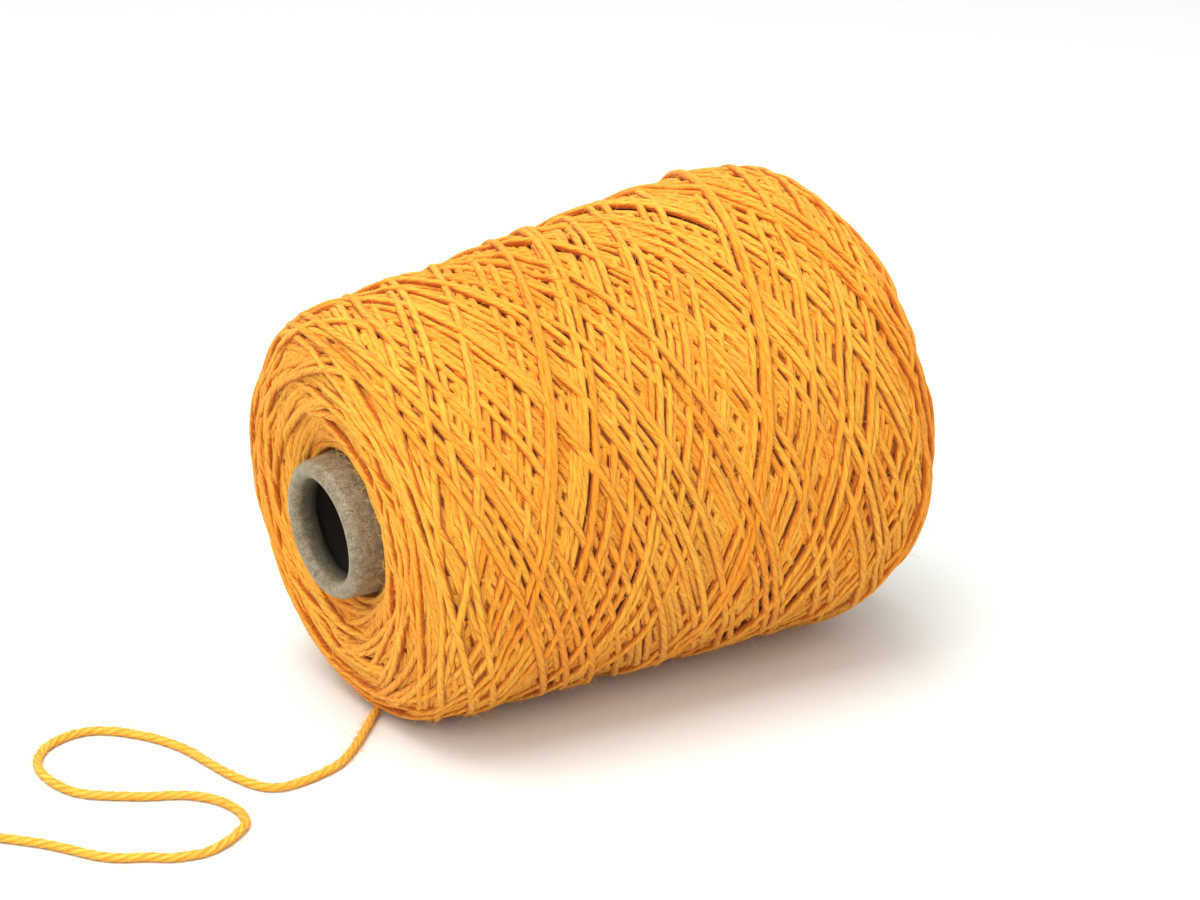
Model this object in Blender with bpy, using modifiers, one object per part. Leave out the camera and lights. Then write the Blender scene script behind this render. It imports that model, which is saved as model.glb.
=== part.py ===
"""A cone of yarn lying on its side: a card tube, the cross-wound yarn on it, and the yarn's loose end.

Metres, +Z up. The narrow end points to -X. The origin is under the middle of the package and its tube, on the
surface that the package lies on.
"""

import math
from collections import namedtuple

import bmesh
import bpy
from mathutils import Matrix, Vector

# Driving dimensions. "along" is measured on the tube's axis, from the plane of the narrow end to the wide end.
TUBE_LENGTH = 0.166
TUBE_NOSE_RADIUS = 0.018
TUBE_WALL = 0.0024
TUBE_HALF_ANGLE = math.radians(4.33)
TUBE_TIP_ALONG = -0.0038
LIP_HEIGHT = 0.0025
LIP_ARC_POINTS = 7
LINING_DEPTH = 0.0068
TUBE_STEPS = 48

Section = namedtuple("Section", "along radius")
PACKAGE_OUTLINE = (
    Section(0.0045, 0.0190),  # where the dished narrow end meets the tube
    Section(0.0024, 0.0245),
    Section(0.0009, 0.0300),
    Section(0.0005, 0.0360),
    Section(0.0013, 0.0420),
    Section(0.0034, 0.0478),
    Section(0.0077, 0.0520),  # narrow shoulder
    Section(0.0140, 0.0540),
    Section(0.0250, 0.0549),
    Section(0.0450, 0.0564),
    Section(0.0650, 0.0582),
    Section(0.0850, 0.0597),
    Section(0.1050, 0.0613),
    Section(0.1210, 0.0629),  # swell at the wide end
    Section(0.1310, 0.0626),
    Section(0.1400, 0.0602),
    Section(0.1462, 0.0555),
    Section(0.1494, 0.0495),
    Section(0.1502, 0.0430),
    Section(0.1496, 0.0360),
    Section(0.1480, 0.0303),  # where the wide end meets the tube
)
PACKAGE_STEPS = 96
PACKAGE_RING_SPACING = 0.0043
TUBE_CLEARANCE = 0.0003

# The wound bands: long cross-wound ones on the body, and shallower ones that curl round on the two ends.
BODY_BANDS = 8
BODY_BAND_LEAD = 0.148
BODY_BAND_HEIGHT = 0.0018
END_BANDS = 3
END_BAND_LEAD = 0.044
END_BAND_HEIGHT = 0.0014
BAND_SWELL = 0.07
BAND_MEAN = 0.62
BAND_FADE = 0.012
OVAL_HEIGHT = 0.0003
OVAL_TURN = math.radians(80)

# How the package lies: the tube's axis rises towards the wide end, and the yarn is pressed flat underneath.
AXIS_TILT = math.radians(4.75)
AXIS_HEIGHT = 0.0515
PRESSED_SHARE = 0.12

YARN_RADIUS = 0.0011
YARN_POINTS = 74
# X from the plane of the narrow end, and Y, of places along the middle of the loose end.
LOOSE_END_ROUTE = (
    (0.0088, -0.0036),  # where it comes out from under the narrow end
    (-0.0080, -0.0210),
    (-0.0180, -0.0275),
    (-0.0325, -0.0290),
    (-0.0385, -0.0185),
    (-0.0425, 0.0050),
    (-0.0500, 0.0195),
    (-0.0590, 0.0260),  # top of the first curve
    (-0.0700, 0.0230),
    (-0.0765, 0.0125),
    (-0.0745, -0.0035),
    (-0.0635, -0.0140),
    (-0.0520, -0.0210),
    (-0.0465, -0.0305),
    (-0.0475, -0.0415),
    (-0.0590, -0.0490),  # bottom of the second curve
    (-0.0680, -0.0480),
    (-0.0740, -0.0440),
    (-0.0820, -0.0385),
    (-0.0920, -0.0235),
    (-0.1065, -0.0085),
    (-0.1200, -0.0015),
    (-0.1380, 0.0005),
)

YARN_COLOUR = (0.84, 0.36, 0.035, 1.0)
CARD_COLOUR = (0.30, 0.24, 0.18, 1.0)
MERGE_DISTANCE = 0.00002


def clear_scene():
    """Remove what the file holds, so that the script can be run again."""
    for thing in list(bpy.data.objects):
        bpy.data.objects.remove(thing)


def make_collection(name):
    """A new collection in the scene."""
    collection = bpy.data.collections.new(name)
    bpy.context.scene.collection.children.link(collection)
    return collection


def make_material(name, colour, roughness):
    """A plain non-metallic material."""
    material = bpy.data.materials.new(name)
    material.use_nodes = True
    shader = material.node_tree.nodes["Principled BSDF"]
    shader.inputs["Base Color"].default_value = colour
    shader.inputs["Roughness"].default_value = roughness
    shader.inputs["Metallic"].default_value = 0.0
    material.diffuse_color = colour
    return material


def tube_radius(along):
    """Outer radius of the card tube at a place on its axis."""
    return TUBE_NOSE_RADIUS + (along - TUBE_TIP_ALONG) * math.tan(TUBE_HALF_ANGLE)


def smooth_curve(points, samples_between=24):
    """Many points on a Catmull-Rom curve through the given points."""
    knots = [Vector(point) for point in points]
    knots = [2 * knots[0] - knots[1], *knots, 2 * knots[-1] - knots[-2]]
    curve = []
    for before, start, end, after in zip(knots, knots[1:], knots[2:], knots[3:]):
        for step in range(samples_between):
            t = step / samples_between
            bend_start = 2 * before - 5 * start + 4 * end - after
            bend_end = 3 * start - before - 3 * end + after
            curve.append(0.5 * (2 * start + (end - before) * t + bend_start * t**2 + bend_end * t**3))
    curve.append(knots[-2].copy())
    return curve


def evenly_spaced(curve, count):
    """The given number of points at equal steps along a curve, both ends included."""
    distances = [0.0]
    for here, there in zip(curve, curve[1:]):
        distances.append(distances[-1] + (there - here).length)
    points = []
    segment = 0
    for index in range(count):
        target = distances[-1] * index / (count - 1)
        while segment < len(curve) - 2 and distances[segment + 1] < target:
            segment += 1
        share = (target - distances[segment]) / (distances[segment + 1] - distances[segment])
        points.append(curve[segment].lerp(curve[segment + 1], min(share, 1.0)))
    return points


def turned_mesh(name, outline, steps):
    """Mesh of a closed outline of (radius, height) points, turned once round the Z axis with a Screw modifier."""
    mesh = bpy.data.meshes.new(name)
    corners = [(radius, 0.0, height) for radius, height in outline]
    edges = [(index, (index + 1) % len(corners)) for index in range(len(corners))]
    mesh.from_pydata(corners, edges, [])
    guide = bpy.data.objects.new(name + "_outline", mesh)
    bpy.context.scene.collection.objects.link(guide)
    screw = guide.modifiers.new("turn", "SCREW")
    screw.axis = "Z"
    screw.steps = steps
    screw.render_steps = steps
    screw.use_merge_vertices = True
    screw.merge_threshold = MERGE_DISTANCE
    evaluated = guide.evaluated_get(bpy.context.evaluated_depsgraph_get())
    turned = bpy.data.meshes.new_from_object(evaluated)
    turned.name = name
    bpy.data.objects.remove(guide)
    bpy.data.meshes.remove(mesh)
    return turned


def add_piece(collection, name, data, material, parent=None):
    """Put a mesh or a curve into the scene as one named sub-part."""
    piece = bpy.data.objects.new(name, data)
    data.materials.clear()
    data.materials.append(material)
    collection.objects.link(piece)
    piece.parent = parent
    return piece


def tube_outline():
    """Closed outline of the card tube: rolled lip, outer wall, base edge, inner wall and rolled-in lining."""
    lining_radius = TUBE_NOSE_RADIUS - 2 * TUBE_WALL
    lip_centre = (TUBE_NOSE_RADIUS + lining_radius) / 2
    lip_half_width = (TUBE_NOSE_RADIUS - lining_radius) / 2
    lip_foot = TUBE_TIP_ALONG + LIP_HEIGHT
    lip = []
    for index in range(LIP_ARC_POINTS):
        turn = math.pi * index / (LIP_ARC_POINTS - 1)
        lip.append((lip_centre - lip_half_width * math.cos(turn), LIP_HEIGHT * math.sin(turn) - lip_foot))
    base = TUBE_TIP_ALONG + TUBE_LENGTH
    lining_end = TUBE_TIP_ALONG + LINING_DEPTH
    inner_nose = tube_radius(lining_end) - TUBE_WALL
    bevel = TUBE_WALL / 5
    return [
        *lip,
        (tube_radius(base), bevel - base),
        (tube_radius(base) - bevel, -base),
        (tube_radius(base) - TUBE_WALL + bevel, -base),
        (tube_radius(base) - TUBE_WALL, bevel - base),
        (inner_nose, -lining_end),
        (lining_radius + bevel, -lining_end),
        (lining_radius, bevel - lining_end),
    ]


def package_outline():
    """Closed outline of the wound package: outside from the narrow end to the wide one, and back along the tube."""
    knots = [(section.radius, -section.along, 0.0) for section in PACKAGE_OUTLINE]
    curve = smooth_curve(knots)
    length = sum((there - here).length for here, there in zip(curve, curve[1:]))
    rings = evenly_spaced(curve, round(length / PACKAGE_RING_SPACING) + 1)
    outline = [(ring.x, ring.y) for ring in rings]
    narrow_along = PACKAGE_OUTLINE[0].along
    wide_along = PACKAGE_OUTLINE[-1].along
    outline[0] = (tube_radius(narrow_along) + TUBE_CLEARANCE, -narrow_along)
    outline[-1] = (tube_radius(wide_along) + TUBE_CLEARANCE, -wide_along)
    return outline


def bands(angle, along, count, lead):
    """Height, 0 to 1, of two sets of bands that wind round opposite ways, each on top in turn."""
    turned = along / lead * 2 * math.pi
    sway = 0.5 * math.sin(3 * angle + 30 * along)
    forward = 0.5 + 0.5 * math.cos(count * (angle - turned) + sway)
    backward = 0.5 + 0.5 * math.cos(count * (angle + turned) - sway + 1.0)
    on_top = BAND_SWELL * math.sin(5 * angle + 60 * along)
    return max(forward * (1 - BAND_SWELL + on_top), backward * (1 - BAND_SWELL - on_top))


def fade(distance, reach):
    """0 at a distance of nothing, rising smoothly to 1 at the given reach."""
    share = min(max(distance / reach, 0.0), 1.0)
    return share * share * (3 - 2 * share)


def band_height(along, radius, angle):
    """How far the wound bands lift the surface at a place on the package."""
    narrow = PACKAGE_OUTLINE[0].along
    wide = PACKAGE_OUTLINE[-1].along
    on_body = fade(along - narrow, BAND_FADE) * fade(wide - along, BAND_FADE)
    off_tube = fade(radius - tube_radius(along), BAND_FADE)
    body = BODY_BAND_HEIGHT * (bands(angle, along, BODY_BANDS, BODY_BAND_LEAD) - BAND_MEAN)
    end = END_BAND_HEIGHT * (bands(angle, radius, END_BANDS, END_BAND_LEAD) - BAND_MEAN)
    oval = OVAL_HEIGHT * math.cos(2 * (angle - OVAL_TURN))
    off_floor = fade(1 + math.cos(angle), PRESSED_SHARE)
    return body * on_body * off_floor + end * off_tube * (1 - on_body) + oval * off_tube


def raise_bands(mesh):
    """Move the turned package's points along their normals to form the crossing bands of wound yarn."""
    solid = bmesh.new()
    solid.from_mesh(mesh)
    bmesh.ops.recalc_face_normals(solid, faces=solid.faces)
    solid.normal_update()
    moves = []
    for corner in solid.verts:
        x, y, height = corner.co
        radius = math.hypot(x, y)
        if radius > tube_radius(-height) + 2 * TUBE_CLEARANCE:
            lift = band_height(-height, radius, math.atan2(y, x))
            moves.append((corner, corner.normal * lift))
    for corner, move in moves:
        corner.co += move
    solid.to_mesh(mesh)
    solid.free()


def press_flat(mesh, placing):
    """Raise every point that would lie under the surface, so that the package has a flat strip to rest on."""
    back = placing.inverted()
    for corner in mesh.vertices:
        world = placing @ corner.co
        if world.z < 0:
            world.z = 0
            corner.co = back @ world


def smooth_shading(mesh, sharp_degrees):
    """Shade a mesh smooth, but for edges sharper than the given angle."""
    mesh.shade_smooth()
    mesh.set_sharp_from_angle(angle=math.radians(sharp_degrees))


def middle_x():
    """X of the middle of the tube's box when the plane of the narrow end is at X = 0."""
    base = TUBE_TIP_ALONG + TUBE_LENGTH
    lip_centre = TUBE_NOSE_RADIUS - TUBE_WALL
    front = TUBE_TIP_ALONG * math.cos(AXIS_TILT) - lip_centre * math.sin(AXIS_TILT)
    back = base * math.cos(AXIS_TILT) + tube_radius(base) * math.sin(AXIS_TILT)
    return (front + back) / 2


def axis_placing():
    """Where the tube's axis lies: local +Z points out of the narrow end."""
    turn = Matrix.Rotation(-(math.pi / 2 + AXIS_TILT), 4, "Y")
    return Matrix.Translation((-middle_x(), 0.0, AXIS_HEIGHT)) @ turn


def build_tube(collection, axis, material):
    """The hollow card tube."""
    mesh = turned_mesh("cone_tube", tube_outline(), TUBE_STEPS)
    smooth_shading(mesh, 40)
    return add_piece(collection, "cone_tube", mesh, material, axis)


def build_package(collection, axis, material):
    """The wound yarn, with its crossing bands and the flat strip that it rests on."""
    mesh = turned_mesh("wound_yarn", package_outline(), PACKAGE_STEPS)
    raise_bands(mesh)
    press_flat(mesh, axis.matrix_world)
    smooth_shading(mesh, 50)
    return add_piece(collection, "wound_yarn", mesh, material, axis)


def build_loose_end(collection, material):
    """The loose end of yarn, lying on the surface."""
    knots = [(x - middle_x(), y, YARN_RADIUS) for x, y in LOOSE_END_ROUTE]
    points = evenly_spaced(smooth_curve(knots), YARN_POINTS)
    curve = bpy.data.curves.new("loose_end", "CURVE")
    curve.dimensions = "3D"
    curve.bevel_depth = YARN_RADIUS
    curve.bevel_resolution = 2
    curve.use_fill_caps = True
    strand = curve.splines.new("POLY")
    strand.points.add(len(points) - 1)
    for point, place in zip(strand.points, points):
        point.co = (*place, 1.0)
    return add_piece(collection, "loose_end", curve, material)


def main():
    """Build the cone of yarn."""
    clear_scene()
    collection = make_collection("cone_of_yarn")
    yarn = make_material("yarn", YARN_COLOUR, 0.9)
    card = make_material("card", CARD_COLOUR, 0.75)
    axis = bpy.data.objects.new("tube_axis", None)
    axis.empty_display_size = 0.05
    axis.matrix_world = axis_placing()
    collection.objects.link(axis)
    bpy.context.view_layer.update()
    build_tube(collection, axis, card)
    build_package(collection, axis, yarn)
    build_loose_end(collection, yarn)


main()
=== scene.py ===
"""The looks of a cone of yarn: its wound turns, card tube and loose end, on a pale floor in soft light.

Metres, +Z up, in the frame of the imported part. "Along" is measured on the tube's axis, from the plane of the
narrow end. "Reach" is measured over the wound surface, from where the narrow end meets the tube to where the
wide end meets it. "Angle" turns round the axis from straight up towards +Y.
"""

import sys

import logging
import math
from collections.abc import Iterator, Sequence
from dataclasses import dataclass, replace
from enum import Enum
from typing import Any

import bpy
import numpy as np
from mathutils import Matrix, Vector


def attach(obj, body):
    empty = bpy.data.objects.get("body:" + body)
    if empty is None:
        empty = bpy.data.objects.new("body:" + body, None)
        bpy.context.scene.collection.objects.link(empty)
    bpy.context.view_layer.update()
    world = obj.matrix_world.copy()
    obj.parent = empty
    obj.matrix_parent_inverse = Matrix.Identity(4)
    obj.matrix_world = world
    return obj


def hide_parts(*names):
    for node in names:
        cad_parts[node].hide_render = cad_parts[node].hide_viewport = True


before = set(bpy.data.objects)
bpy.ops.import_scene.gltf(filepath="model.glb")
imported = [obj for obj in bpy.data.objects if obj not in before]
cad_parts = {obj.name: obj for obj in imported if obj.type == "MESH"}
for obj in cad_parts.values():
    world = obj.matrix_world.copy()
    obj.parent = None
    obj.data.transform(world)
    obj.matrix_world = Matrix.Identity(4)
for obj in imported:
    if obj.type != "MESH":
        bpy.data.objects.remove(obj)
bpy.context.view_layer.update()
ROOT = "root"
log = logging.getLogger("cone_of_yarn")

Colour = tuple[float, float, float, float]
Array = np.ndarray


class Twist(Enum):
    """The way a yarn's plies turn: like the middle stroke of an S, or of a Z."""

    S = -1.0
    Z = 1.0


class Slot(Enum):
    """The material slots."""

    YARN = "yarn"
    CARD = "card"


# -------------------------------- Node trees --------------------------------


@dataclass
class NodeSheet:
    """Adds nodes to one tree.

    Args:
        tree: The shader or geometry tree that the nodes go into.
    """

    tree: bpy.types.NodeTree

    def add(
        self, kind: str, settings: dict[str, Any] | None = None, sockets: dict[Any, Any] | None = None
    ) -> bpy.types.Node:
        """Add a node, set it up and then fill or link its inputs.

        Args:
            kind: The node's type.
            settings: Its own settings. "carried" gives the kinds and names of what a capture node carries.
            sockets: For an input's name or number, a value, an output socket or a Number.

        Returns:
            The node.
        """
        node = self.tree.nodes.new(kind)
        for name, setting in (settings or {}).items():
            if name == "carried":
                for carried_kind, carried_name in setting:
                    node.capture_items.new(carried_kind, carried_name)
            else:
                setattr(node, name, setting)
        self.feed(node, sockets or {})
        return node

    def feed(self, node: bpy.types.Node, sockets: dict[Any, Any]) -> None:
        """Fill or link a node's inputs.

        Args:
            node: The node.
            sockets: For an input's name or number, a value, an output socket or a Number.
        """
        for name, value in sockets.items():
            source = value.socket if isinstance(value, Number) else value
            if isinstance(source, bpy.types.NodeSocket):
                self.tree.links.new(source, node.inputs[name])
            else:
                node.inputs[name].default_value = source

    def number(self, socket: bpy.types.NodeSocket) -> "Number":
        """Wrap an output socket for use in expressions."""
        return Number(self, socket)

    def mix(self, share: Any, low: Any, high: Any) -> bpy.types.NodeSocket:
        """Mix two colours.

        Args:
            share: How much of the second colour shows, 0 to 1.
            low: The colour where the share is 0.
            high: The colour where the share is 1.

        Returns:
            The mixed colour's socket.
        """
        node = self.add("ShaderNodeMix", {"data_type": "RGBA"}, {0: share, 6: low, 7: high})
        return node.outputs[2]

    def place(self) -> bpy.types.NodeSocket:
        """The place in the object's own space."""
        return self.add("ShaderNodeTexCoord").outputs["Object"]

    def carried(self, name: str) -> "Number":
        """A value that the mesh carries under a name."""
        return self.number(self.add("ShaderNodeAttribute", {"attribute_name": name}).outputs["Fac"])

    def vector(self, operation: str, sockets: dict[Any, Any]) -> Any:
        """Work on vectors, and give the outputs of the node that does it."""
        return self.add("ShaderNodeVectorMath", {"operation": operation}, sockets).outputs

    def bump(self, strength: float, distance: float, height: Any) -> bpy.types.NodeSocket:
        """A normal bumped by a height.

        Args:
            strength: How much of the bump shows.
            distance: The depth, in metres, of a height of 1.
            height: The height.

        Returns:
            The normal's socket.
        """
        sockets = {"Strength": strength, "Distance": distance, "Height": height}
        return self.add("ShaderNodeBump", None, sockets).outputs[0]


@dataclass
class Number:
    """An output socket that takes part in Python expressions, each of which adds Math nodes.

    Args:
        sheet: The tree's node sheet.
        socket: The output socket.
    """

    sheet: NodeSheet
    socket: bpy.types.NodeSocket

    def _math(self, operation: str, *values: Any) -> "Number":
        """Add one Math node on the given values."""
        node = self.sheet.add("ShaderNodeMath", {"operation": operation}, dict(enumerate(values)))
        return Number(self.sheet, node.outputs[0])

    def __add__(self, other: Any) -> "Number":
        """Sum."""
        return self._math("ADD", self, other)

    def __radd__(self, other: Any) -> "Number":
        """Sum, reflected."""
        return self._math("ADD", other, self)

    def __sub__(self, other: Any) -> "Number":
        """Difference."""
        return self._math("SUBTRACT", self, other)

    def __rsub__(self, other: Any) -> "Number":
        """Difference, reflected."""
        return self._math("SUBTRACT", other, self)

    def __mul__(self, other: Any) -> "Number":
        """Product."""
        return self._math("MULTIPLY", self, other)

    def __rmul__(self, other: Any) -> "Number":
        """Product, reflected."""
        return self._math("MULTIPLY", other, self)

    def __truediv__(self, other: Any) -> "Number":
        """Quotient."""
        return self._math("DIVIDE", self, other)

    def __rtruediv__(self, other: Any) -> "Number":
        """Quotient, reflected."""
        return self._math("DIVIDE", other, self)

    def over(self, low: float, high: float) -> "Number":
        """Rise smoothly from 0 at one value to 1 at another.

        Args:
            low: The value that gives 0.
            high: The value that gives 1.

        Returns:
            The smooth share.
        """
        settings = {"interpolation_type": "SMOOTHSTEP"}
        node = self.sheet.add("ShaderNodeMapRange", settings, {0: self, 1: low, 2: high, 3: 0.0, 4: 1.0})
        return Number(self.sheet, node.outputs[0])

    def cosine(self) -> "Number":
        """Cosine."""
        return self._math("COSINE", self)

    def size(self) -> "Number":
        """The value without its sign."""
        return self._math("ABSOLUTE", self)

    def angle_of(self, across: Any) -> "Number":
        """The angle of the point whose height is this and whose distance across is the other value."""
        return self._math("ARCTAN2", self, across)


# --------------------------------- Finishes ---------------------------------


def new_material(name: str) -> tuple[bpy.types.Material, NodeSheet, bpy.types.Node]:
    """Start a node material.

    Args:
        name: The material's name.

    Returns:
        The material, its node sheet and its Principled shader.
    """
    material = bpy.data.materials.new(name)
    material.use_nodes = True
    return material, NodeSheet(material.node_tree), material.node_tree.nodes["Principled BSDF"]


def noise(sheet: NodeSheet, place: Any, scale: float, detail: float = 2.0, rough: float = 0.5) -> Number:
    """A noise value, about 0.5 on average.

    Args:
        sheet: The material's node sheet.
        place: The coordinates that it follows.
        scale: Its waves for each unit of the coordinates.
        detail: Its finer layers.
        rough: The strength of the finer layers.

    Returns:
        The noise.
    """
    sockets = {"Vector": place, "Scale": scale, "Detail": detail, "Roughness": rough}
    return sheet.number(sheet.add("ShaderNodeTexNoise", None, sockets).outputs[0])


@dataclass(frozen=True)
class YarnFinish:
    """Matt dyed yarn: fibres that run with it, painted shade between plies and low on a turn's sides, a
    painted highlight along its crest, and a soft bloom.

    Args:
        name: The material's name.
        crown: Colour on the crown of a ply.
        groove: Painted shade colour between two plies and low on a turn's sides, which also fills the darker
            fibre streaks.
        warm: Colour of the deeper dyed stretches.
        sheen: How much the loose fibres catch the light.
        bloom: The colour that they give it.
        shaded: How much painted shade darkens it low on a turn's sides.
        plied: How much painted shade darkens it between two plies.
        crest_highlight: How much lighter a painted highlight makes it along a turn's crest than beside it.
    """

    name: str = "dyed_yarn"
    crown: Colour = (1.0, 0.495, 0.048, 1.0)
    groove: Colour = (0.56, 0.118, 0.0045, 1.0)
    warm: Colour = (1.0, 0.355, 0.021, 1.0)
    sheen: float = 0.25
    bloom: Colour = (1.0, 0.72, 0.35, 1.0)
    shaded: float = 1.3
    plied: float = 0.22
    crest_highlight: float = 0.35

    def material(self, stock: "YarnStock") -> bpy.types.Material:
        """Make the material for strands that carry the ply and tone attributes.

        Args:
            stock: The yarn, whose plies it shows.

        Returns:
            The material.
        """
        material, sheet, shader = new_material(self.name)
        ply = sheet.add("ShaderNodeAttribute", {"attribute_name": "ply"}).outputs["Vector"]
        parts = sheet.add("ShaderNodeSeparateXYZ", None, {0: ply}).outputs
        across, upward, run = (sheet.number(part) for part in parts)
        turn = stock.untwisted(across, upward, run)
        lobe = stock.lobe(turn)
        fibres = self._fibres(sheet, turn, run)
        cloud = noise(sheet, sheet.place(), scale=38.0)
        crest = sheet.carried("crest")
        # About the mean of each over the showing yarn is taken off, so that the three leave its tone alone.
        usual_lobe, usual_side, usual_crest_light = 0.64, 0.95, 0.45
        # Painted shade: darker low on a turn's sides and in the grooves between two plies.
        side = (crest.over(-0.3, 0.6) - usual_side) * self.shaded
        # Painted highlight: lighter along a turn's crest than beside it.
        crest_light = (crest.over(0.4, 1.0) - usual_crest_light) * self.crest_highlight
        lit = (lobe - usual_lobe) * self.plied + side + crest_light
        crowned = (fibres * 2.3 + lit).over(0.62, 1.62)
        warmth = (sheet.carried("tone") * 0.7 + cloud * 0.6).over(0.35, 0.95)
        colour = sheet.mix(crowned, self.groove, sheet.mix(warmth, self.crown, self.warm))
        height = fibres + lobe.over(0.0, 0.9) * 0.2
        sockets = {
            "Base Color": colour,
            "Normal": sheet.bump(strength=1.0, distance=0.0005, height=height),
            "Roughness": 0.92,
            "Specular IOR Level": 0.2,
            "Sheen Weight": self.sheen,
            "Sheen Roughness": 0.5,
            "Sheen Tint": self.bloom,
        }
        sheet.feed(shader, sockets)
        return material

    @staticmethod
    def _fibres(sheet: NodeSheet, turn: Number, run: Number) -> Number:
        """Noise drawn out along the spun fibres.

        Args:
            sheet: The material's node sheet.
            turn: The angle round the yarn, turned back by its twist.
            run: The length along it.

        Returns:
            The noise.
        """
        round_it, along_it = 3.3, 300.0
        spun = (turn.cosine() * round_it, (turn - math.pi / 2).cosine() * round_it, run * along_it)
        place = sheet.add("ShaderNodeCombineXYZ", None, dict(enumerate(spun))).outputs[0]
        return noise(sheet, place, scale=1.0, detail=3.0, rough=0.75)


@dataclass(frozen=True)
class FuzzFinish:
    """The fine loose fibres that stand off the yarn.

    Args:
        name: The material's name.
        colour: Their usual colour.
        pale: The colour of the palest ones.
    """

    name: str = "loose_fibres"
    colour: Colour = (0.95, 0.46, 0.04, 1.0)
    pale: Colour = (1.0, 0.58, 0.09, 1.0)

    def material(self) -> bpy.types.Material:
        """Make the material.

        Returns:
            The material, with a colour that varies a little from fibre to fibre.
        """
        material, sheet, shader = new_material(self.name)
        faded = noise(sheet, sheet.place(), scale=300.0)
        sheet.feed(shader, {"Base Color": sheet.mix(faded, self.colour, self.pale), "Roughness": 0.8})
        return material


@dataclass(frozen=True)
class BedFinish:
    """The bed of older turns that shows deep between the top ones, coloured dark as painted shade.

    Args:
        name: The material's name.
        low: Painted shade colour in its gaps.
        high: Colour on its turns, darker than the yarn's own as painted shade.
    """

    name: str = "deep_turns"
    low: Colour = (0.34, 0.085, 0.006, 1.0)
    high: Colour = (0.66, 0.22, 0.018, 1.0)

    def material(self) -> bpy.types.Material:
        """Make the material.

        Returns:
            The material, with a grain that stands for the turns deep inside.
        """
        material, sheet, shader = new_material(self.name)
        grain = noise(sheet, sheet.place(), scale=420.0, detail=3.0)
        # Painted shade: both colours are darker than the yarn's own, darkest in the gaps.
        sockets = {
            "Base Color": sheet.mix(grain.over(0.3, 0.7), self.low, self.high),
            "Normal": sheet.bump(strength=0.8, distance=0.0006, height=grain),
            "Roughness": 0.95,
        }
        sheet.feed(shader, sockets)
        return material


@dataclass(frozen=True)
class CardFinish:
    """Pressed grey-brown card with fine pale and dark specks and a slightly polished skin, darkened deep in
    the bore by painted shade.

    Args:
        name: The material's name.
        pale: The card's paler colour.
        dull: Its darker colour.
        speck: The colour of its dark specks.
        fleck: The colour of its pale fibres.
        inside: The painted shade colour deep in the bore.
    """

    name: str = "pressed_card"
    pale: Colour = (0.287, 0.229, 0.135, 1.0)
    dull: Colour = (0.140, 0.110, 0.063, 1.0)
    speck: Colour = (0.045, 0.032, 0.020, 1.0)
    fleck: Colour = (0.52, 0.44, 0.30, 1.0)
    inside: Colour = (0.022, 0.012, 0.006, 1.0)

    def material(self) -> bpy.types.Material:
        """Make the material.

        Returns:
            The material, with specks, flecks and painted shade that darkens the bore inwards.
        """
        material, sheet, shader = new_material(self.name)
        place = sheet.place()
        cloud = noise(sheet, place, scale=420.0, detail=5.0, rough=0.75)
        specks = noise(sheet, place, scale=1700.0, detail=3.0, rough=0.7).over(0.58, 0.66)
        flecks = noise(sheet, place, scale=2300.0, detail=3.0).over(0.56, 0.68)
        body = sheet.mix(cloud.over(0.32, 0.68), self.dull, self.pale)
        spotted = sheet.mix(specks * 0.85, body, self.speck)
        flecked = sheet.mix(flecks * 0.45, spotted, self.fleck)
        # Painted shade: the colour darkens towards a near-black colour deeper in the bore.
        bore = sheet.carried("bore")
        height = cloud * 0.6 + specks * 0.5
        sockets = {
            "Base Color": sheet.mix(bore, flecked, self.inside),
            "Roughness": cloud * 0.25 + bore * 0.4 + 0.30,
            "Normal": sheet.bump(strength=0.35, distance=0.00015, height=height),
            "Specular IOR Level": 0.5,
        }
        sheet.feed(shader, sockets)
        return material


@dataclass(frozen=True)
class FloorFinish:
    """A plain pale floor.

    Args:
        name: The material's name.
        colour: Its colour.
    """

    name: str = "pale_floor"
    colour: Colour = (0.765, 0.79, 0.768, 1.0)

    def material(self) -> bpy.types.Material:
        """Make the material.

        Returns:
            The material, with one plain colour.
        """
        material, sheet, shader = new_material(self.name)
        sheet.feed(shader, {"Base Color": self.colour, "Roughness": 0.75})
        return material


# ------------------------------- Shared forms -------------------------------


def link_object(name: str, data: Any) -> bpy.types.Object:
    """Make an object and put it in the scene.

    Args:
        name: Its name.
        data: Its mesh, light or camera.

    Returns:
        The object, at the origin.
    """
    made = bpy.data.objects.new(name, data)
    bpy.context.scene.collection.objects.link(made)
    return made


def smooth_curve(points: Array, samples_between: int = 24) -> Array:
    """Many points on a Catmull-Rom curve through the given points.

    Args:
        points: The points, one a row.
        samples_between: How many points each stretch between two of them gets.

    Returns:
        The curve's points, one a row.
    """
    knots = np.vstack([2 * points[0] - points[1], points, 2 * points[-1] - points[-2]])
    steps = np.arange(samples_between)[:, None] / samples_between
    stretches = []
    for before, start, end, after in zip(knots, knots[1:], knots[2:], knots[3:]):
        square = 2 * before - 5 * start + 4 * end - after
        cube = 3 * start - before - 3 * end + after
        stretches.append(0.5 * (2 * start + (end - before) * steps + square * steps**2 + cube * steps**3))
    return np.vstack([*stretches, points[-1:]])


def distances(points: Array) -> Array:
    """The distance to each point of a polyline from its start."""
    return np.concatenate([[0.0], np.cumsum(np.linalg.norm(np.diff(points, axis=0), axis=1))])


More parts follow.
